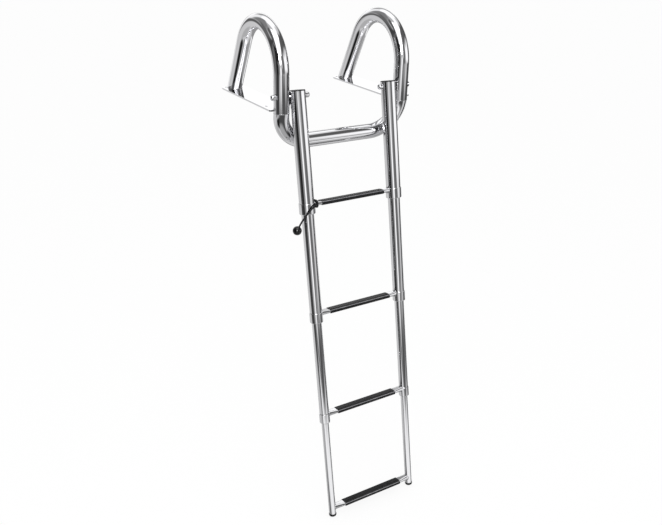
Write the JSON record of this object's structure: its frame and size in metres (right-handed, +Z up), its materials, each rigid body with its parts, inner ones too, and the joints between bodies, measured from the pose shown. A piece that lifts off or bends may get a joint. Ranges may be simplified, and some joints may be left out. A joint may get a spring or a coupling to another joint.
{
  "type": "telescopic swim ladder",
  "caption": "Telescoping boarding ladder with black treads, hinged between two arched grab handles on flat deck plates.",
  "frame": {"origin": "centre of the left deck plate's four screw holes, on the plate's underside", "axes": "+Z up, +Y from the water to the deck, +X to the right as seen from the water"},
  "size_m": [0.4058, 0.5196, 1.3118],
  "materials": {
    "polished_steel": "mirror-polished stainless steel",
    "tread_black": "satin moulded plastic",
    "cap_black": "satin moulded plastic",
    "foot_black": "satin",
    "cord_black": "satin elastic cord",
    "ball_black": "gloss"
  },
  "bodies": {
    "handle_frame": {"left_deck_plate": "polished_steel", "left_handle": "polished_steel", "left_hinge_ear": "polished_steel", "left_hinge_bolt": "polished_steel", "right_deck_plate": "polished_steel", "right_handle": "polished_steel", "right_hinge_ear": "polished_steel", "right_hinge_bolt": "polished_steel", "crossbar": "polished_steel"},
    "rail_frame": {"left_rail_cap": "cap_black", "left_first_tube": "polished_steel", "left_first_collar": "polished_steel", "right_rail_cap": "cap_black", "right_first_tube": "polished_steel", "right_first_collar": "polished_steel", "first_rung": "polished_steel", "first_tread": "tread_black", "cord_loop": "cord_black", "retainer_cord": "cord_black", "retainer_ball": "ball_black"},
    "second_section": {"left_second_tube": "polished_steel", "left_second_collar": "polished_steel", "right_second_tube": "polished_steel", "right_second_collar": "polished_steel", "second_rung": "polished_steel", "second_tread": "tread_black"},
    "third_section": {"left_third_tube": "polished_steel", "left_third_collar": "polished_steel", "right_third_tube": "polished_steel", "right_third_collar": "polished_steel", "third_rung": "polished_steel", "third_tread": "tread_black"},
    "fourth_section": {"left_fourth_tube": "polished_steel", "left_foot": "foot_black", "right_fourth_tube": "polished_steel", "right_foot": "foot_black", "fourth_rung": "polished_steel", "fourth_tread": "tread_black"}
  },
  "joints": [
    {"name": "rail_fold", "type": "hinge", "parent": "handle_frame", "child": "rail_frame", "pos_m": [0.1719, -0.16725, 0.033], "axis": [-1, 0, 0], "range_deg": [0, 259.5]},
    {"name": "second_slide", "type": "slide", "parent": "rail_frame", "child": "second_section", "axis": [0, 0.1822, 0.9833], "range_m": [0, 0.225]},
    {"name": "third_slide", "type": "slide", "parent": "second_section", "child": "third_section", "axis": [0, 0.1822, 0.9833], "range_m": [0, 0.225]},
    {"name": "fourth_slide", "type": "slide", "parent": "third_section", "child": "fourth_section", "axis": [0, 0.1822, 0.9833], "range_m": [0, 0.225]}
  ]
}
